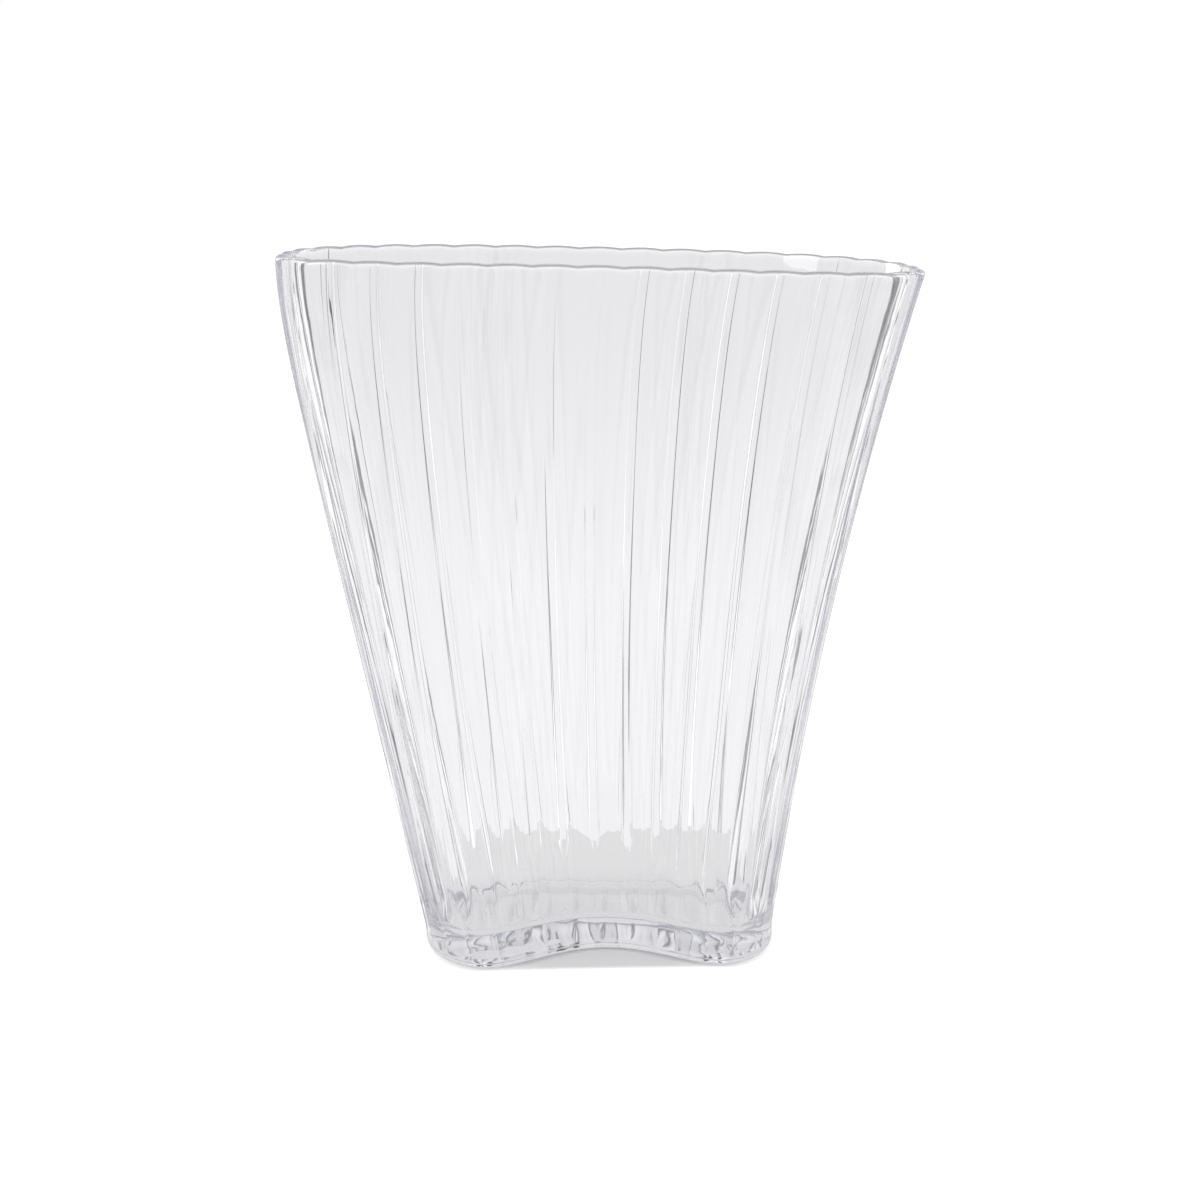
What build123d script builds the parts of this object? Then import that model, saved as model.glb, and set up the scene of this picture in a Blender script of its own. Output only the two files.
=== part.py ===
from build123d import *
from bisect import bisect_right
from math import cos, dist, pi, radians, sin, tan
import os

# Fan vase of clear fluted glass, in millimetres.
# It is one piece of glass, given here as its three zones: thick base, fluted wall and polished rim.
# +Z is up and the hollow front faces -Y. The origin is on the standing surface, under the middle.
# A pair of values is the size at the foot and the size at the rim.

# Height over the middle, and the lean of the rim in degrees, which is higher on the left
height = 198.0
rim_lean = 1.35

# Half widths: the left flank is straight and turns upright under the rim, the right flank flares
foot_half_width = 49.6
left_spread = 44.2
left_turn = 12
right_spread = 24.7
right_flare = 16.2

# Depths of the oval that the outline starts from, how much more there is at the front on the left, and where
# its two ends stand, towards the front
back = (37.5, 38.0)
front = (41.0, 42.2)
front_skew = (4.2, 0.0)
ends = (-5.0, -22.0)

# Power that squares the oval: 1 is an ellipse and a smaller one is squarer
squareness = (0.72, 0.78)

# The hollow down the front: its depth, and its half width and shift as shares of the half width
hollow_depth = (27.0, 9.0)
hollow_width = (0.82, 0.90)
hollow_shift = (0.03, 0.0)

# Flutes: shallow hollows on the outside, which fade out at the foot, and a low wave on the inside
flutes = 36
flute_depth = (0.50, 0.25)
flute_fade = 8.0
least_fade = 0.1
inner_wave = (0.25, 0.25)

# Ribs: narrow ridges between the flutes, of uneven height, which widen downwards and thin out above the foot
rib_height = (0.84, 0.54)
rib_variety = (0.29, 1.0)
rib_rhythm = 1.7
rib_half_width = (1.6, 1.3)
rib_spread = 0.8
rib_spread_run = 60.0
rib_end = 14.0
rib_end_in_hollow = 30.0
rib_taper = 22.0
least_rib = 0.08

# Where the ribs are lower: the share that is left, and where it sets in and is reached.
# In the hollow that is a level, behind it is in flutes from the middle of the back, and at the two ends
# it is how far the wall faces sideways
rib_left_in_hollow = 0.2
rib_left_behind = 0.12
rib_left_at_ends = 0.08
hollow_power = 1.5
hollow_levels = (0.40, 0.75)
behind_flutes = (9.0, 5.0)
end_facings = (0.60, 0.95)

# Glass thickness, and the power of its change from the foot to the rim
wall = (5.2, 3.9)
wall_power = 2

# Heights of the zones and of the floor inside
floor_height = 8.5
base_top = 18.0
rim_start = 192.0

# Roundings of the foot, with the share of it that is left behind, of the corner around the floor, and of the lip
foot_round = 4.0
foot_left_behind = 0.35
floor_round = 4.0
lip_round = 1.3
round_angles = (0, 30, 60, 90)

# Heights of the sections up the wall, closer where the ribs set in and where the left flank turns upright
wall_heights = (base_top, 27.0, 38.0, 55.0, 80.0, 112.0, 145.0, 172.0, rim_start)

# Steps round the outline when its length is measured
measure_steps = 1440


def at(pair, level):
    """The value between a foot and a rim size, at a level from 0 at the foot to 1 at the rim."""
    return pair[0] + (pair[1] - pair[0]) * level


def eased(value, start, end):
    """A share that rises smoothly from 0 at the start to 1 at the end."""
    share = min(1.0, max(0.0, (value - start) / (end - start)))
    return share * share * (3 - 2 * share)


def rounded_power(value, power):
    """A power that keeps the sign of its value."""
    return abs(value) ** power * (1 if value >= 0 else -1)


def crest_point(angle, level):
    """A point on the crests, at an angle from the right end round by the back, and its share of the hollow."""
    left = foot_half_width + left_spread * (level - level**left_turn / left_turn)
    right = foot_half_width + right_spread * level + right_flare * level**2
    across = rounded_power(cos(angle), at(squareness, level))
    deep = rounded_power(sin(angle), at(squareness, level))
    x = (right - left) / 2 + (right + left) / 2 * across
    if deep >= 0:
        return x, at(ends, level) + (at(back, level) - at(ends, level)) * deep, 0.0
    reach = at(front, level) + at(front_skew, level) * (1 - across) / 2
    y = at(ends, level) + (reach + at(ends, level)) * deep
    place = (across - at(hollow_shift, level)) / at(hollow_width, level)
    hollow = (1 + cos(pi * place)) / 2 if abs(place) < 1 else 0.0
    return x, y + at(hollow_depth, level) * hollow, hollow


def spots_round(level, places):
    """Crest point, inward direction and hollow share at each place round a level, and the flutes' width.
    Places are in flutes from the middle of the front."""
    line = [crest_point(2 * pi * i / measure_steps - pi / 2, level) for i in range(measure_steps + 1)]
    lengths = [0.0]
    for start, end in zip(line, line[1:]):
        lengths.append(lengths[-1] + dist(start[:2], end[:2]))
    spots = []
    for place in places:
        length = lengths[-1] * (place % flutes) / flutes
        step = bisect_right(lengths, length) - 1
        start, end = line[step], line[step + 1]
        run = lengths[step + 1] - lengths[step]
        x, y, hollow = (a + (b - a) * (length - lengths[step]) / run for a, b in zip(start, end))
        spots.append((x, y, (start[1] - end[1]) / run, (end[0] - start[0]) / run, hollow))
    return spots, lengths[-1] / flutes


def behind(place):
    """1 along the back and 0 elsewhere, for a place in flutes from the middle of the front."""
    return eased(abs(place - flutes / 2), *behind_flutes)


def rib_left(place, level, facing, hollow):
    """The share of the full height that a rib has: each its own, and less where the ribs are lower."""
    share = at(rib_variety, (1 + sin(rib_rhythm * place**2)) / 2)
    in_hollow = hollow**hollow_power * eased(level, *hollow_levels)
    at_end = eased(abs(facing), *end_facings)
    share *= 1 - (1 - rib_left_in_hollow) * in_hollow
    share *= 1 - (1 - rib_left_behind) * behind(place)
    return share * (1 - (1 - rib_left_at_ends) * at_end)


def section_of_arcs(rise, level, places, depths):
    """A closed outline of arcs through every second place, set in from the crests, on the leaning plane."""
    spots, _ = spots_round(level, places)
    points = [(x + inward_x * depth, y + inward_y * depth)
              for (x, y, inward_x, inward_y, _), depth in zip(spots, depths)]
    lean = level * tan(radians(rim_lean))
    with BuildSketch(Plane((0, 0, rise), x_dir=(1, 0, -lean), z_dir=(lean, 0, 1))) as section:
        with BuildLine():
            for i in range(0, len(points), 2):
                ThreePointArc(points[i], points[i + 1], points[(i + 2) % len(points)])
        make_face()
    return section.sketch


def outer_section(rise, inset=0.0):
    """The outside at a height: an arc over each rib and a hollow arc along each flute."""
    level = rise / height
    fade = max(least_fade, eased(rise, 0, flute_fade))
    floor = at(rib_height, level)
    ribs, width = spots_round(level, range(flutes))
    halves = []
    tops = []
    for i, (x, y, facing, _, hollow) in enumerate(ribs):
        above = rise - rib_end - (rib_end_in_hollow - rib_end) * hollow
        spread = 1 + rib_spread * (1 - hollow) * eased(above, rib_spread_run, 0)
        taper = 1 - (1 - min(1.0, max(0.0, above / rib_taper))) ** 2
        halves.append(at(rib_half_width, level) * spread / width)
        tops.append(floor - max(least_rib, floor * rib_left(i, level, facing, hollow) * taper))
    places = []
    depths = []
    for i in range(flutes):
        places += [i - halves[i], i, i + halves[i], i + 0.5]
        depths += [floor, tops[i], floor, floor + at(flute_depth, level)]
    insets = [inset] * len(places)
    if rise < foot_round:
        insets = [inset * (1 - (1 - foot_left_behind) * behind(place)) for place in places]
    return section_of_arcs(rise, level, places, [depth * fade + more for depth, more in zip(depths, insets)])


def inner_section(rise, inset=0.0):
    """The inside at a height: one arc for each flute, with a low wave behind the ribs."""
    level = rise / height
    thickness = at(wall, 1 - (1 - level) ** wall_power)
    places = [i / 2 for i in range(2 * flutes)]
    depths = [inset + thickness + (0.0 if i % 2 else at(inner_wave, level)) for i in range(2 * flutes)]
    return section_of_arcs(rise, level, places, depths)


def foot_sections(section, bottom, radius):
    """Sections from a flat bottom round a corner into the upright wall."""
    sections = []
    for angle in round_angles:
        turn = radians(angle)
        sections.append(section(bottom + radius * (1 - cos(turn)), radius * (1 - sin(turn))))
    return sections


def lip_sections(section, radius):
    """Sections from the upright wall round half of the lip, inwards for a positive radius."""
    sections = []
    for angle in reversed(round_angles):
        turn = radians(angle)
        sections.append(section(height - lip_round * (1 - cos(turn)), radius * (1 - sin(turn))))
    return sections


# Base: the thick bottom that the vase stands on, with the floor of the vessel in its top
with BuildPart() as base:
    loft(foot_sections(outer_section, 0.0, foot_round))
    loft([outer_section(foot_round), outer_section((foot_round + base_top) / 2), outer_section(base_top)])
    loft(foot_sections(inner_section, floor_height, floor_round), mode=Mode.SUBTRACT)
    loft([inner_section(floor_height + floor_round), inner_section(base_top)], mode=Mode.SUBTRACT)
base.part.label = "base"

# Fluted wall: the shell that opens like a fan, from the base to just under the rim
with BuildPart() as fluted_wall:
    loft([outer_section(rise) for rise in wall_heights])
    loft([inner_section(rise) for rise in wall_heights], mode=Mode.SUBTRACT)
fluted_wall.part.label = "fluted_wall"

# Rim: the last of the wall, with its lip melted round
lip_start = height - lip_round
with BuildPart() as rim:
    loft([outer_section(rim_start), outer_section((rim_start + lip_start) / 2), outer_section(lip_start)])
    loft(lip_sections(outer_section, lip_round))
    loft([inner_section(rim_start), inner_section(lip_start)], mode=Mode.SUBTRACT)
    loft(lip_sections(inner_section, -lip_round), mode=Mode.SUBTRACT)
rim.part.label = "rim"

os.makedirs("parts", exist_ok=True)
for piece in (base, fluted_wall, rim):
    export_step(piece.part, f"parts/{piece.part.label}.step")
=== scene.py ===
from math import pi, radians, tan

import bpy
import numpy as np
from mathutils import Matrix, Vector


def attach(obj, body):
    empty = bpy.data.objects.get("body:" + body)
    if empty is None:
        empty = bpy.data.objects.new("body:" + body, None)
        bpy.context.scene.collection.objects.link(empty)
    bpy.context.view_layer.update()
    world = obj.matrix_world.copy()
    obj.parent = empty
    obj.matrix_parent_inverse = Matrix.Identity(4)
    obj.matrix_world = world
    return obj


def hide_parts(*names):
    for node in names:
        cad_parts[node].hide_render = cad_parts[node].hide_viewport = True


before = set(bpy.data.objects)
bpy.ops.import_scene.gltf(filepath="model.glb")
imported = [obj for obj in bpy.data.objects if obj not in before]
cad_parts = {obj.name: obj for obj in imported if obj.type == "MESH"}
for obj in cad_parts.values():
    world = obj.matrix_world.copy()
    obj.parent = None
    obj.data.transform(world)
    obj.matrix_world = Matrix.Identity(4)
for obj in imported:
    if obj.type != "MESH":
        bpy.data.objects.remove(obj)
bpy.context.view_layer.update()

# Fan vase of clear fluted glass. Sizes of the vase are in millimetres, as in the part's source.
# A pair is the size at the foot and the size at the rim, unless its own comment says otherwise
MM = 0.001

# Outline of the vase: height, lean of the rim in degrees, half widths and depths
HEIGHT = 198.0
RIM_LEAN = 1.35
FOOT_HALF_WIDTH = 49.6
LEFT_SPREAD = 44.2
LEFT_TURN = 12
RIGHT_SPREAD = 24.7
RIGHT_FLARE = 16.2
BACK = (37.5, 38.0)
FRONT = (41.0, 42.2)
FRONT_SKEW = (4.2, 0.0)
ENDS = (-5.0, -22.0)

# Power that squares the outline, and the depth, half width and shift of the hollow down its front
SQUARENESS = (0.72, 0.78)
HOLLOW_DEPTH = (27.0, 9.0)
HOLLOW_WIDTH = (0.82, 0.90)
HOLLOW_SHIFT = (0.03, 0.0)

# Glass thickness and the floor inside
WALL = (5.2, 3.9)
WALL_POWER = 2
FLOOR_HEIGHT = 8.5

# Roundings of the foot, with the share of it that is left at the back, of the floor's corner, and of the lip
FOOT_ROUND = 4.0
FOOT_LEFT_AT_BACK = 0.35
FLOOR_ROUND = 4.0
LIP_ROUND = 1.3
LIP_ROUND_INSIDE = 0.6
ROUND_ANGLES = (0, 10, 22, 35, 48, 62, 76, 90)

# Where the back and the two ends set in and are reached: in flutes from the middle of the back, and by how
# far the wall faces sideways
BACK_FLUTES = (9.0, 5.0)
END_FACINGS = (0.60, 0.95)

# Flutes: shallow hollows on the outside, which fade out at the foot and are shallower at the back and at the
# two ends. The inside has a low wave behind the ribs, and the rim dips between them
FLUTES = 36
FLUTE_DEPTH = (0.50, 0.25)
FLUTE_FADE = 8.0
FLUTE_LEFT_AT_ENDS = 0.25
FLUTE_LEFT_AT_BACK = 0.35
INNER_WAVE = (0.15, 0.12)
RIM_SCALLOP = 0.4
RIM_SCALLOP_RUN = 12.0

# Narrow flat-topped rib between each two flutes. It widens downwards, and thins out into a round tip above
# the foot. Its sides are kept between two shares of its half width, and its height varies between two shares
RIB_HEIGHT = (0.70, 0.45)
RIB_HALF_WIDTH = (1.6, 1.3)
RIB_SLOPE = 0.59
RIB_SIDES = (0.2, 0.9)
RIB_SOFTNESS = 0.35
RIB_VARIETY = (0.35, 1.2)
RIB_RHYTHM = 1.7
RIB_SPREAD = 0.8
RIB_SPREAD_RUN = 60.0
RIB_END = 14.0
RIB_END_IN_HOLLOW = 30.0
RIB_TIP = 6.0
RIB_TAPER = 22.0

# Where the ribs are lower: the share that is left in the hollow, at the back and at the two ends. In the
# hollow it sets in and is reached at two levels
RIB_LEFT_IN_HOLLOW = 0.2
RIB_LEFT_AT_BACK = 0.12
RIB_LEFT_AT_ENDS = 0.08
HOLLOW_POWER = 1.5
HOLLOW_LEVELS = (0.40, 0.75)

# Unevenness of the glass: low waves, of which the finer are lower. Each drifts round as it goes up, and
# swells from a mean share by another share, over a run from a range
OUTER_WAVES = 0.02
INNER_WAVES = 0.045
OUTER_SEED = 3
INNER_SEED = 11
WAVES_LEFT_AT_ENDS = 0.35
WAVE_COUNTS = range(3, 45, 3)
WAVE_POWER = 0.7
WAVE_DRIFT = 30.0
WAVE_SWELL = (0.6, 0.4)
WAVE_RUN = (14.0, 40.0)

# Columns beside a rib: on its top, in half widths of the top, and on its side and just beyond, in widths of
# the side. A least half width of the rib keeps them apart
TOP_COLUMNS = (0.5, 1.0)
SIDE_COLUMNS = (0.25, 0.5, 0.75, 1.0, 1.25)
LEAST_RIB = 0.5

# Steps round the outline when it is measured, and how many on each side give its direction
MEASURE_STEPS = 12000
DIRECTION_STEPS = 2

# Rings up the wall: the first step, and the steps low down and in the middle, outside and inside, and the
# step under the lip
LOW_TOP = 36.0
MIDDLE_TOP = 180.0
OUTSIDE_FIRST = 0.9
OUTSIDE_STEPS = (0.9, 5.0)
INSIDE_FIRST = 1.5
INSIDE_STEPS = (2.2, 8.0)
HIGH_STEP = 2.2

# Rings of the bottom and the floor, as shares of the way in to a strip, and the strip's share of the length
CAP_SHARES = (0.05, 0.15, 0.3, 0.5, 0.7, 0.9)
STRIP_LENGTH = 0.62

# The glass: its refraction, and its tint, which shows where it is thick
REFRACTION = 1.5
TINT = (0.80, 0.80, 0.855, 1.0)
TINT_DENSITY = 5.0

# Its surface: long drawn-out streaks and small ripples as a bump, and faint wipe marks, for which a range of
# a noise becomes a range of roughness
STREAK_SCALE = (260.0, 260.0, 16.0)
STREAK_DETAIL = 2.0
RIPPLE_SCALE = (420.0, 420.0, 90.0)
RIPPLE_DETAIL = 1.0
RIPPLE_SHARE = 0.35
BUMP_STRENGTH = 0.06
BUMP_DISTANCE = 0.0004
MARK_SCALE = (30.0, 30.0, 12.0)
MARK_DETAIL = 2.0
MARK_RANGE = (0.5, 0.8)
ROUGHNESS = (0.0, 0.012)

# The studio that shows in the glass: panels all round, with narrow dark gaps that have a bright edge.
# A panel's tones go from its middle to half way to the next one, at the level of the vase and lower down
PANELS = 4
LEVEL_PANEL = (
    (0.00, 1.00),
    (0.29, 0.99),
    (0.325, 0.08),
    (0.37, 0.08),
    (0.40, 1.35),
    (0.46, 1.35),
    (0.50, 1.00),
    (1.00, 1.00),
)
LOW_PANEL = (
    (0.00, 1.00),
    (0.30, 1.00),
    (0.335, 0.30),
    (0.375, 0.30),
    (0.405, 1.30),
    (0.46, 1.30),
    (0.50, 1.04),
    (0.64, 1.06),
    (0.70, 0.35),
    (0.78, 0.35),
    (0.84, 1.20),
    (1.00, 1.10),
)

# The ground is plain, and the ceiling has faint seams: their places, and the tones before, in and after one
GROUND_PANEL = ((0.0, 1.0), (1.0, 1.0))
SEAMS = (0.12, 0.35, 0.55, 0.72, 0.90)
SEAM_HALF = 0.035
SEAM_TONES = (1.0, 0.40, 1.25)

# Ranges of a direction's height over which the ground, the low panels, the level ones and the ceiling meet
GROUND_TO_LOW = (-0.55, -0.40)
LOW_TO_LEVEL = (-0.22, -0.10)
LEVEL_TO_CEILING = (0.08, 0.22)

# Tones from straight down to straight up. The ground is darker behind the vase, which sets in over a range of
# a direction's depth
GROUND_TONES = ((0.00, 0.86), (0.30, 0.93))
GROUND_TONES_BEHIND = ((0.00, 0.22), (0.20, 0.36), (0.29, 0.52), (0.345, 0.92))
BEHIND = (0.28, 0.50)
WALL_TONES = (
    (0.41, 0.92),
    (0.45, 0.81),
    (0.50, 0.78),
    (0.60, 0.70),
    (0.72, 0.62),
    (0.85, 0.56),
    (0.93, 0.50),
    (1.00, 0.48),
)

# A tone is the bluer the further it is under the untinted one
DARK_TINT = 0.06
UNTINTED_TONE = 1.1

# Plain light from all round, which falls on the floor
PLAIN_LIGHT = 0.7

# The floor, in metres. To the camera it is lifted towards white, least in a painted shadow under the vase,
# which adds to the vase's own shadow and is an oval that ends in front at a straight edge. The painted shadow
# has a half width and depth, and fades over a range of them
FLOOR_COLOUR = (0.8, 0.8, 0.81, 1)
FLOOR_ROUGHNESS = 0.6
FLOOR_HALF = 3.0
FLOOR_DROP = 0.0002
CAMERA_LIFT = (0.15, 0.55)
# Painted shadow under the vase: its oval, its fade and its straight front edge
PAINTED_SHADOW_HALF = (0.048, 0.047)
PAINTED_SHADOW_REACH = (0.70, 1.15)
PAINTED_SHADOW_FRONT = 0.0330
PAINTED_SHADOW_FRONT_TURN = 0.059
PAINTED_SHADOW_FRONT_EDGE = 0.0022

# To rays through the glass the floor ends close to the vase, as a table of a half width and a half depth, and
# has mostly a tone of its own
TABLE_HALF = (0.056, 0.126)
TABLE_TONE = 0.76
TABLE_TINT = 1.01
TABLE_SHARE = 0.9

# Camera: place and aim in metres, and its focal length in pixels of the photograph
CAMERA_PLACE = (0.0, -0.985, 0.275)
CAMERA_AIM = (0.0, 0.0, 0.0995)
FILM_WIDTH = 36.0
FOCAL_PIXELS = 3488.0
PHOTO_WIDTH = 1200.0

# Four tall softboxes at the corners of the studio, in metres and watts, hidden from the camera
SOFTBOXES = 4
SOFTBOX_SIZE = (0.5, 1.0)
SOFTBOX_AWAY = 1.5
SOFTBOX_RISE = 0.75
SOFTBOX_AIM = 0.1
SOFTBOX_POWER = 5.0

# Times that light may bounce, since the wall guides it a long way
BOUNCES = 96


def at(pair, level):
    """The value between a foot and a rim size, at a level from 0 at the foot to 1 at the rim."""
    return pair[0] + (pair[1] - pair[0]) * level


def smooth(value):
    """Eases from 0 to 1."""
    value = np.clip(value, 0, 1)
    return value * value * (3 - 2 * value)


def eased(value, reach):
    """Eases from 0 at the start of a range to 1 at its end."""
    return smooth((value - reach[0]) / (reach[1] - reach[0]))


def at_back(turns):
    """1 along the back and 0 elsewhere, for places in flutes from the middle of the front."""
    return eased(np.abs(turns - FLUTES / 2), BACK_FLUTES)


def less_at_ends(normals, left):
    """1 along the front and back, and the share that is left where the wall faces to the left or right."""
    return 1 - (1 - left) * eased(np.abs(normals[:, 0]), END_FACINGS)


def outline(level, turns):
    """Crest points, inward normals and hollow share at places round one level, and the flute width."""
    angle = np.linspace(-pi / 2, 3 * pi / 2, MEASURE_STEPS + 1)
    power = at(SQUARENESS, level)
    across = np.sign(np.cos(angle)) * np.abs(np.cos(angle)) ** power
    deep = np.sign(np.sin(angle)) * np.abs(np.sin(angle)) ** power
    left = FOOT_HALF_WIDTH + LEFT_SPREAD * (level - level**LEFT_TURN / LEFT_TURN)
    right = FOOT_HALF_WIDTH + RIGHT_SPREAD * level + RIGHT_FLARE * level**2
    x = (right - left) / 2 + (right + left) / 2 * across
    ends = at(ENDS, level)
    place = np.clip((across - at(HOLLOW_SHIFT, level)) / at(HOLLOW_WIDTH, level), -1, 1)
    hollow = np.where(deep < 0, (1 + np.cos(pi * place)) / 2, 0)
    front = at(FRONT, level) + at(FRONT_SKEW, level) * (1 - across) / 2
    y = ends + np.where(deep < 0, front + ends, at(BACK, level) - ends) * deep
    y = y + at(HOLLOW_DEPTH, level) * hollow
    length = np.concatenate([[0], np.cumsum(np.hypot(np.diff(x), np.diff(y)))])
    place = turns / FLUTES * length[-1]
    step = length[-1] / MEASURE_STEPS
    ahead = (place + DIRECTION_STEPS * step) % length[-1]
    behind = (place - DIRECTION_STEPS * step) % length[-1]
    dx = np.interp(ahead, length, x) - np.interp(behind, length, x)
    dy = np.interp(ahead, length, y) - np.interp(behind, length, y)
    run = np.hypot(dx, dy)
    points = np.column_stack([np.interp(place, length, x), np.interp(place, length, y)])
    normals = np.column_stack([-dy / run, dx / run])
    return points, normals, np.interp(place, length, hollow), length[-1] / FLUTES


# Each rib's own share of the full height
RIB_SHARES = at(RIB_VARIETY, (1 + np.sin(RIB_RHYTHM * np.arange(FLUTES) ** 2)) / 2)


def rib_sizes(rise):
    """Half width, side width and height of each rib at one level, and the flute width there."""
    level = rise / HEIGHT
    places = np.arange(FLUTES)
    _, normals, hollow, width = outline(level, places)
    above = rise - RIB_END - (RIB_END_IN_HOLLOW - RIB_END) * hollow
    spread = 1 + RIB_SPREAD * (1 - hollow) * smooth(1 - above / RIB_SPREAD_RUN)
    half = at(RIB_HALF_WIDTH, level) * spread * np.sqrt(np.clip(above / RIB_TIP, 0, 1))
    half = np.maximum(half, LEAST_RIB)
    left = 1 - (1 - RIB_LEFT_IN_HOLLOW) * hollow**HOLLOW_POWER * eased(level, HOLLOW_LEVELS)
    left = left * (1 - (1 - RIB_LEFT_AT_BACK) * at_back(places))
    left = left * less_at_ends(normals, RIB_LEFT_AT_ENDS)
    taper = 1 - (1 - np.clip(above / RIB_TAPER, 0, 1)) ** 2
    tall = at(RIB_HEIGHT, level) * RIB_SHARES * left * taper
    side = np.clip(tall / RIB_SLOPE, RIB_SIDES[0] * half, RIB_SIDES[1] * half)
    return half, side, tall, width


def column_turns(rise):
    """Places of the columns round one level, in flutes from the middle of the front, even at the two ends."""
    half, side, _, width = rib_sizes(rise)
    top = np.outer(half - side, TOP_COLUMNS)
    slope = np.reshape(half - side, (-1, 1)) + np.outer(side, SIDE_COLUMNS)
    near = np.hstack([top, slope]) / width
    near = np.hstack([near, (near[:, -1:] + 0.5) / 2])
    _, normals, _, _ = outline(rise / HEIGHT, np.arange(FLUTES) + 0.5)
    by_rib = less_at_ends(normals, 0.0)
    turns = []
    for i in range(FLUTES):
        far = 1 - near[(i + 1) % FLUTES, ::-1]
        places = np.concatenate([[0], near[i], [0.5], far])
        even = np.arange(len(places)) / len(places)
        turns.append(i + even + (places - even) * by_rib[i])
    return np.concatenate(turns)


# Places of the columns at the rim, which the inside keeps all the way down
RIM_TURNS = column_turns(HEIGHT)


def waves(seed, turns, rise, size):
    """Low uneven waves, drawn out up the wall, round one level. They go inwards only."""
    draw = np.random.RandomState(seed)
    total = np.zeros(len(turns))
    for count in WAVE_COUNTS:
        turn = 2 * pi * count * turns / FLUTES
        drift = draw.uniform(-1, 1) * rise / WAVE_DRIFT
        swing = np.sin(rise / draw.uniform(*WAVE_RUN) + draw.uniform(0, 2 * pi))
        swell = WAVE_SWELL[0] + WAVE_SWELL[1] * swing
        total += (1 + swell * np.sin(turn + drift + draw.uniform(0, 2 * pi))) / count**WAVE_POWER
    return size * total


def from_rib(turns):
    """Distance from the nearest rib, in flutes."""
    return np.abs((turns + 0.5) % 1.0 - 0.5)


def ring(points, normals, turns, rise, inset):
    """Points of one level, set in from the crests, on the plane that leans with the rim."""
    moved = points + normals * np.reshape(inset, (-1, 1))
    lean = rise / HEIGHT * tan(radians(RIM_LEAN))
    scallop = RIM_SCALLOP * (2 * from_rib(turns)) ** 2 * smooth(1 - (HEIGHT - rise) / RIM_SCALLOP_RUN)
    return np.column_stack([moved, rise - lean * moved[:, 0] - scallop])


def outer_ring(rise, rounding=0.0):
    """Outer face at one level, set in by the rounding of the foot or of the lip."""
    level = rise / HEIGHT
    turns = column_turns(rise)
    points, normals, _, width = outline(level, turns)
    half, side, tall, _ = rib_sizes(rise)
    nearest = np.floor(turns + 0.5).astype(int) % FLUTES
    share = from_rib(turns)
    edge = half[nearest] / width
    up = np.clip((half[nearest] - share * width) / side[nearest], 0, 1)
    rib = tall[nearest] * (up + RIB_SOFTNESS * (smooth(up) - up))
    across = np.clip((share - edge) / (0.5 - edge), 0, 1)
    flute = at(FLUTE_DEPTH, level) * (1 - (1 - across) ** 2) * less_at_ends(normals, FLUTE_LEFT_AT_ENDS)
    flute = flute * (1 - (1 - FLUTE_LEFT_AT_BACK) * at_back(turns))
    below_crest = at(RIB_HEIGHT, level) * RIB_VARIETY[1] - rib
    uneven = waves(OUTER_SEED, turns, rise, OUTER_WAVES) * less_at_ends(normals, WAVES_LEFT_AT_ENDS)
    if rise < FOOT_ROUND:
        rounding = rounding * (1 - (1 - FOOT_LEFT_AT_BACK) * at_back(turns))
    depth = (flute + below_crest + uneven) * smooth(rise / FLUTE_FADE)
    return ring(points, normals, turns, rise, rounding + depth)


def inner_ring(rise, rounding=0.0):
    """Inner face at one level, set in by the rounding of the floor's corner, or out by that of the lip."""
    level = rise / HEIGHT
    points, normals, _, _ = outline(level, RIM_TURNS)
    thickness = at(WALL, 1 - (1 - level) ** WALL_POWER)
    fade = smooth((rise - FLOOR_HEIGHT) / FLUTE_FADE)
    bulge = at(INNER_WAVE, level) * (1 + np.cos(2 * pi * from_rib(RIM_TURNS))) / 2 * fade
    bulge = bulge * less_at_ends(normals, FLUTE_LEFT_AT_ENDS)
    uneven = waves(INNER_SEED, RIM_TURNS, rise, INNER_WAVES) * less_at_ends(normals, WAVES_LEFT_AT_ENDS)
    return ring(points, normals, RIM_TURNS, rise, rounding + thickness + bulge + uneven)


def rounded_rings(face, start, rise, inset):
    """Rings of a face round a corner, from its flat side at a start height to its upright side."""
    turns = np.radians(ROUND_ANGLES)
    return [face(start + rise * (1 - np.cos(turn)), inset * (1 - np.sin(turn))) for turn in turns]


def wall_heights(start, low_step, middle_step):
    """Heights of the rings up one face of the wall, closer low down and under the lip."""
    low = np.arange(start, LOW_TOP, low_step)
    middle = np.arange(LOW_TOP, MIDDLE_TOP, middle_step)
    high = np.arange(MIDDLE_TOP, HEIGHT - LIP_ROUND, HIGH_STEP)
    return np.concatenate([low, middle, high])


def cap_rings(edge):
    """Rings that close in from an edge to a strip along the middle, on the edge's own level."""
    middle_x = STRIP_LENGTH * edge[:, 0]
    front = edge[edge[:, 1] < at(ENDS, 0)]
    back = edge[edge[:, 1] >= at(ENDS, 0)]
    front = front[np.argsort(front[:, 0])]
    back = back[np.argsort(back[:, 0])]
    low = np.interp(middle_x, front[:, 0], front[:, 1])
    high = np.interp(middle_x, back[:, 0], back[:, 1])
    middle = np.column_stack([middle_x, (high + low) / 2, edge[:, 2]])
    return [edge + (middle - edge) * share for share in CAP_SHARES]


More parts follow.
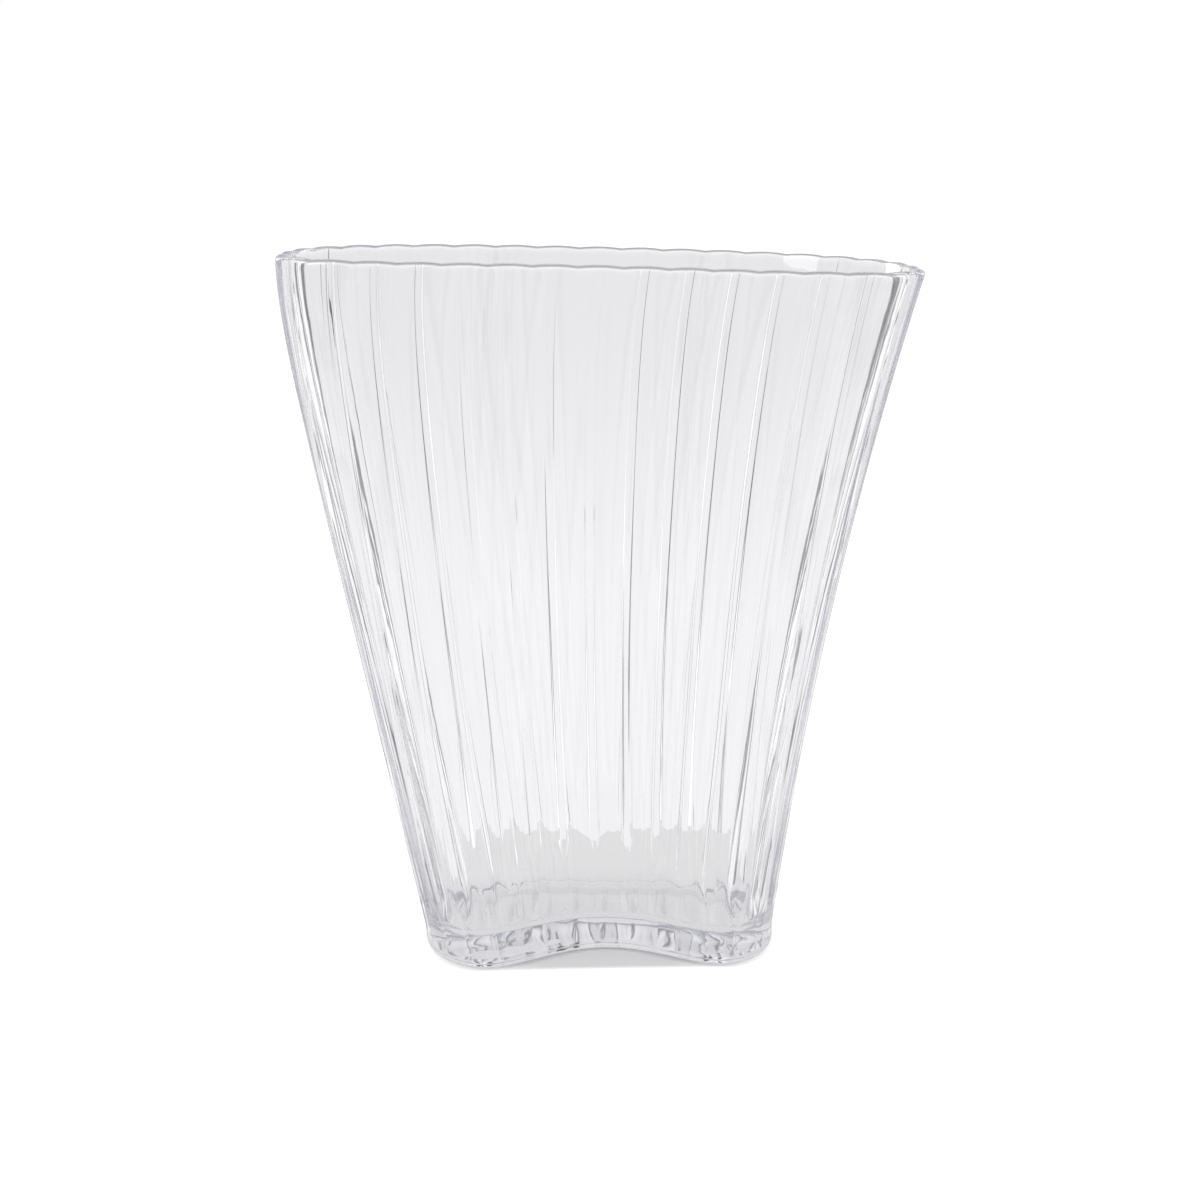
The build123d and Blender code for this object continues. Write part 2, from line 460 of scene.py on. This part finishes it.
def vase_rings():
    """Every ring of the glass: from the middle of the bottom up the outside, over the lip and down inside."""
    foot = rounded_rings(outer_ring, 0.0, FOOT_ROUND, FOOT_ROUND)
    bottom = cap_rings(foot[0])[::-1]
    outside_rises = wall_heights(FOOT_ROUND + OUTSIDE_FIRST, *OUTSIDE_STEPS)
    outside = [outer_ring(rise) for rise in outside_rises]
    lip_out = rounded_rings(outer_ring, HEIGHT, -LIP_ROUND, LIP_ROUND)[::-1]
    lip_in = rounded_rings(inner_ring, HEIGHT, -LIP_ROUND_INSIDE, -LIP_ROUND_INSIDE)
    inside_rises = wall_heights(FLOOR_HEIGHT + FLOOR_ROUND + INSIDE_FIRST, *INSIDE_STEPS)
    inside = [inner_ring(rise) for rise in inside_rises[::-1]]
    corner = rounded_rings(inner_ring, FLOOR_HEIGHT, FLOOR_ROUND, FLOOR_ROUND)[::-1]
    floor = cap_rings(corner[-1])
    return bottom + foot + outside + lip_out + lip_in + inside + corner + floor


def vase_mesh():
    """One closed skin over all the rings."""
    rings = vase_rings()
    columns = len(RIM_TURNS)
    vertices = np.concatenate(rings) * MM
    here = np.arange(columns)
    ahead = (here + 1) % columns
    faces = []
    for i in range(len(rings) - 1):
        low, high = i * columns, (i + 1) * columns
        faces.append(np.column_stack([low + here, low + ahead, high + ahead, high + here]))
    faces = [tuple(face) for face in np.concatenate(faces)]
    faces.append(tuple(here[::-1]))
    faces.append(tuple((len(rings) - 1) * columns + here))
    mesh = bpy.data.meshes.new("vase_glass")
    mesh.from_pydata(vertices.tolist(), [], faces)
    mesh.polygons.foreach_set("use_smooth", [True] * len(mesh.polygons))
    mesh.validate()
    mesh.update()
    return mesh


def add_math(nodes, links, operation, first, second=None):
    """The result of one operation on sockets or numbers."""
    node = nodes.new("ShaderNodeMath")
    node.operation = operation
    for socket, value in zip(node.inputs, (first, second)):
        if value is None:
            continue
        if isinstance(value, (int, float)):
            socket.default_value = value
        else:
            links.new(value, socket)
    return node.outputs["Value"]


def add_range(nodes, links, value, reach, result=(0.0, 1.0), shape="SMOOTHSTEP"):
    """A value carried over from one range to another."""
    node = nodes.new("ShaderNodeMapRange")
    node.interpolation_type = shape
    node.inputs["From Min"].default_value, node.inputs["From Max"].default_value = reach
    node.inputs["To Min"].default_value, node.inputs["To Max"].default_value = result
    links.new(value, node.inputs["Value"])
    return node.outputs["Result"]


def add_colour_mix(nodes, links, blend, first, second, share=None):
    """Two colours blended by a share, or fully where none is given."""
    mix = nodes.new("ShaderNodeMix")
    mix.data_type = "RGBA"
    mix.blend_type = blend
    if share is None:
        mix.inputs["Factor"].default_value = 1.0
    else:
        links.new(share, mix.inputs["Factor"])
    links.new(first, mix.inputs["A"])
    links.new(second, mix.inputs["B"])
    return mix.outputs["Result"]


def add_shader_mix(nodes, links, share, first, second):
    """A shader that goes from the first to the second with a share."""
    mix = nodes.new("ShaderNodeMixShader")
    links.new(share, mix.inputs["Fac"])
    links.new(first, mix.inputs[1])
    links.new(second, mix.inputs[2])
    return mix.outputs["Shader"]


def add_glassy(nodes, links, path):
    """1 for rays that come through the glass or off it, and 0 for others."""
    rays = [path.outputs[name] for name in ("Is Transmission Ray", "Is Glossy Ray")]
    return add_math(nodes, links, "MAXIMUM", *rays)


def add_noise(nodes, links, place, scale, detail):
    """A noise stretched by its own scale on each axis."""
    mapping = nodes.new("ShaderNodeMapping")
    mapping.inputs["Scale"].default_value = scale
    links.new(place, mapping.inputs["Vector"])
    noise = nodes.new("ShaderNodeTexNoise")
    noise.inputs["Scale"].default_value = 1.0
    noise.inputs["Detail"].default_value = detail
    links.new(mapping.outputs["Vector"], noise.inputs["Vector"])
    return noise.outputs["Fac"]


def glass_material():
    """Clear glass with a faint tint, streaks, ripples and wipe marks."""
    material = bpy.data.materials.new("clear_glass")
    material.use_nodes = True
    nodes, links = material.node_tree.nodes, material.node_tree.links
    shader = nodes["Principled BSDF"]
    shader.inputs["Base Color"].default_value = (1.0, 1.0, 1.0, 1.0)
    shader.inputs["Transmission Weight"].default_value = 1.0
    shader.inputs["IOR"].default_value = REFRACTION
    place = nodes.new("ShaderNodeTexCoord").outputs["Object"]
    streaks = add_noise(nodes, links, place, STREAK_SCALE, STREAK_DETAIL)
    ripples = add_noise(nodes, links, place, RIPPLE_SCALE, RIPPLE_DETAIL)
    height = add_math(nodes, links, "ADD", streaks, add_math(nodes, links, "MULTIPLY", ripples, RIPPLE_SHARE))
    bump = nodes.new("ShaderNodeBump")
    bump.inputs["Strength"].default_value = BUMP_STRENGTH
    bump.inputs["Distance"].default_value = BUMP_DISTANCE
    links.new(height, bump.inputs["Height"])
    links.new(bump.outputs["Normal"], shader.inputs["Normal"])
    marks = add_noise(nodes, links, place, MARK_SCALE, MARK_DETAIL)
    links.new(add_range(nodes, links, marks, MARK_RANGE, ROUGHNESS, "LINEAR"), shader.inputs["Roughness"])
    tint = nodes.new("ShaderNodeVolumeAbsorption")
    tint.inputs["Color"].default_value = TINT
    tint.inputs["Density"].default_value = TINT_DENSITY
    links.new(tint.outputs["Volume"], nodes["Material Output"].inputs["Volume"])
    return material


def add_tones(nodes, links, value, tones):
    """A ramp of greys, a little bluer where they are darker."""
    ramp = nodes.new("ShaderNodeValToRGB")
    links.new(value, ramp.inputs["Fac"])
    elements = ramp.color_ramp.elements
    while len(elements) < len(tones):
        # Every place is set below
        elements.new(0.5)
    for element, (position, tone) in zip(elements, tones):
        element.position = position
        element.color = (tone, tone, tone * (1 + DARK_TINT * (UNTINTED_TONE - tone)), 1)
    return ramp.outputs["Color"]


def ceiling_panel():
    """Tones of the ceiling's panels: plain, with faint seams that have a bright edge."""
    tones = []
    for seam in SEAMS:
        for side, tone in zip((-1, 0, 1), SEAM_TONES):
            tones.append((seam + side * SEAM_HALF, tone))
    return tones


def add_studio(nodes, links):
    """Colour of the studio by direction: the tones by height, times those of the panels."""
    axes = nodes.new("ShaderNodeSeparateXYZ")
    links.new(nodes.new("ShaderNodeTexCoord").outputs["Generated"], axes.inputs["Vector"])
    depth, rise = axes.outputs["Y"], axes.outputs["Z"]
    azimuth = add_math(nodes, links, "ARCTAN2", depth, axes.outputs["X"])
    aside = add_math(nodes, links, "PINGPONG", azimuth, pi / PANELS)
    aside = add_math(nodes, links, "MULTIPLY", aside, PANELS / pi)
    panel = add_tones(nodes, links, aside, GROUND_PANEL)
    changes = ((GROUND_TO_LOW, LOW_PANEL), (LOW_TO_LEVEL, LEVEL_PANEL), (LEVEL_TO_CEILING, ceiling_panel()))
    for reach, tones in changes:
        share = add_range(nodes, links, rise, reach)
        panel = add_colour_mix(nodes, links, "MIX", panel, add_tones(nodes, links, aside, tones), share)
    # Height from 0 straight down to 1 straight up
    height = add_math(nodes, links, "MULTIPLY", rise, 0.5)
    height = add_math(nodes, links, "ADD", height, 0.5)
    around = add_tones(nodes, links, height, GROUND_TONES + WALL_TONES)
    behind = add_tones(nodes, links, height, GROUND_TONES_BEHIND + WALL_TONES)
    wall = add_colour_mix(nodes, links, "MIX", around, behind, add_range(nodes, links, depth, BEHIND))
    return add_colour_mix(nodes, links, "MULTIPLY", wall, panel)


def make_world():
    """White to the camera, the studio in the glass, and plain light to everything else."""
    world = bpy.data.worlds.new("studio")
    bpy.context.scene.world = world
    world.use_nodes = True
    nodes, links = world.node_tree.nodes, world.node_tree.links
    light = nodes.new("ShaderNodeBackground")
    light.inputs["Color"].default_value = (PLAIN_LIGHT, PLAIN_LIGHT, PLAIN_LIGHT, 1)
    studio = nodes.new("ShaderNodeBackground")
    links.new(add_studio(nodes, links), studio.inputs["Color"])
    white = nodes.new("ShaderNodeBackground")
    white.inputs["Color"].default_value = (1, 1, 1, 1)
    plain, in_glass, to_camera = [node.outputs["Background"] for node in (light, studio, white)]
    path = nodes.new("ShaderNodeLightPath")
    unseen = add_shader_mix(nodes, links, add_glassy(nodes, links, path), plain, in_glass)
    seen = add_shader_mix(nodes, links, path.outputs["Is Camera Ray"], unseen, to_camera)
    output = nodes.get("World Output") or nodes.new("ShaderNodeOutputWorld")
    links.new(seen, output.inputs["Surface"])


def add_lift(nodes, links, axes):
    """How much the floor is lifted towards white to the camera: least in a painted shadow under the vase."""
    squares = []
    for axis, half in zip("XY", PAINTED_SHADOW_HALF):
        share = add_math(nodes, links, "DIVIDE", axes.outputs[axis], half)
        squares.append(add_math(nodes, links, "MULTIPLY", share, share))
    away = add_math(nodes, links, "SQRT", add_math(nodes, links, "ADD", *squares))
    turned = add_math(nodes, links, "MULTIPLY", axes.outputs["X"], PAINTED_SHADOW_FRONT_TURN)
    ahead = add_math(nodes, links, "SUBTRACT", turned, axes.outputs["Y"])
    front = (PAINTED_SHADOW_FRONT - PAINTED_SHADOW_FRONT_EDGE, PAINTED_SHADOW_FRONT + PAINTED_SHADOW_FRONT_EDGE)
    beside = add_range(nodes, links, away, PAINTED_SHADOW_REACH, CAMERA_LIFT)
    return add_math(nodes, links, "MAXIMUM", beside, add_range(nodes, links, ahead, front, CAMERA_LIFT))


def add_off_table(nodes, links, axes):
    """1 where the floor is off the table, and 0 on it."""
    beyond = []
    for axis, half in zip("XY", TABLE_HALF):
        away = add_math(nodes, links, "ABSOLUTE", axes.outputs[axis])
        beyond.append(add_math(nodes, links, "GREATER_THAN", away, half))
    return add_math(nodes, links, "MAXIMUM", *beyond)


def floor_material():
    """A pale floor, lifted towards white to the camera but for a painted shadow under the vase, and a small
    table to rays through the glass.
    """
    material = bpy.data.materials.new("pale_floor")
    material.use_nodes = True
    nodes, links = material.node_tree.nodes, material.node_tree.links
    shader = nodes["Principled BSDF"]
    shader.inputs["Base Color"].default_value = FLOOR_COLOUR
    shader.inputs["Roughness"].default_value = FLOOR_ROUGHNESS
    shader.inputs["Specular IOR Level"].default_value = 0.0
    axes = nodes.new("ShaderNodeSeparateXYZ")
    links.new(nodes.new("ShaderNodeNewGeometry").outputs["Position"], axes.inputs["Vector"])
    path = nodes.new("ShaderNodeLightPath")
    through = add_glassy(nodes, links, path)
    glow = nodes.new("ShaderNodeEmission")
    # The lift to the camera is least in the painted shadow under the vase, which darkens the floor there
    lift = add_math(nodes, links, "MULTIPLY", path.outputs["Is Camera Ray"], add_lift(nodes, links, axes))
    links.new(lift, glow.inputs["Strength"])
    lifted = nodes.new("ShaderNodeAddShader")
    links.new(shader.outputs["BSDF"], lifted.inputs[0])
    links.new(glow.outputs["Emission"], lifted.inputs[1])
    table = nodes.new("ShaderNodeEmission")
    table.inputs["Color"].default_value = (TABLE_TONE, TABLE_TONE, TABLE_TONE * TABLE_TINT, 1)
    flat = add_math(nodes, links, "MULTIPLY", through, TABLE_SHARE)
    near = add_shader_mix(nodes, links, flat, lifted.outputs["Shader"], table.outputs["Emission"])
    clear = nodes.new("ShaderNodeBsdfTransparent")
    gone = add_math(nodes, links, "MULTIPLY", add_off_table(nodes, links, axes), through)
    seen = add_shader_mix(nodes, links, gone, near, clear.outputs["BSDF"])
    links.new(seen, nodes["Material Output"].inputs["Surface"])
    return material


def make_floor():
    """A wide floor just under the vase."""
    mesh = bpy.data.meshes.new("floor")
    corners = [(x * FLOOR_HALF, y * FLOOR_HALF, 0) for x, y in ((-1, -1), (1, -1), (1, 1), (-1, 1))]
    mesh.from_pydata(corners, [], [(0, 1, 2, 3)])
    floor = bpy.data.objects.new("floor", mesh)
    floor.location.z = -FLOOR_DROP
    bpy.context.scene.collection.objects.link(floor)
    mesh.materials.append(floor_material())


def look_at(obj, aim):
    """Turns a camera or a light towards a point."""
    obj.rotation_euler = (Vector(aim) - obj.location).to_track_quat("-Z", "Y").to_euler()


def make_camera():
    """The camera at the photograph's viewing angle."""
    data = bpy.data.cameras.new("camera")
    data.sensor_width = FILM_WIDTH
    data.lens = FILM_WIDTH * FOCAL_PIXELS / PHOTO_WIDTH
    camera = bpy.data.objects.new("camera", data)
    camera.location = CAMERA_PLACE
    look_at(camera, CAMERA_AIM)
    bpy.context.scene.collection.objects.link(camera)
    bpy.context.scene.camera = camera


def make_lights():
    """The softboxes, which show in the glass as reflections only."""
    for corner in range(SOFTBOXES):
        data = bpy.data.lights.new(f"softbox_{corner}", "AREA")
        data.shape = "RECTANGLE"
        data.size, data.size_y = SOFTBOX_SIZE
        data.energy = SOFTBOX_POWER
        box = bpy.data.objects.new(data.name, data)
        turn = (2 * corner + 1) * pi / SOFTBOXES
        box.location = (SOFTBOX_AWAY * np.cos(turn), SOFTBOX_AWAY * np.sin(turn), SOFTBOX_RISE)
        look_at(box, (0, 0, SOFTBOX_AIM))
        box.visible_camera = False
        box.visible_transmission = False
        bpy.context.scene.collection.objects.link(box)


scene = bpy.context.scene
scene.view_settings.view_transform = "Standard"
scene.cycles.max_bounces = BOUNCES
scene.cycles.transmission_bounces = BOUNCES
scene.cycles.glossy_bounces = BOUNCES

vase = bpy.data.objects.new("vase_glass", vase_mesh())
scene.collection.objects.link(vase)
vase.data.materials.append(glass_material())
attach(vase, "root")
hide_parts("base", "fluted_wall", "rim")

make_floor()
make_world()
make_lights()
make_camera()
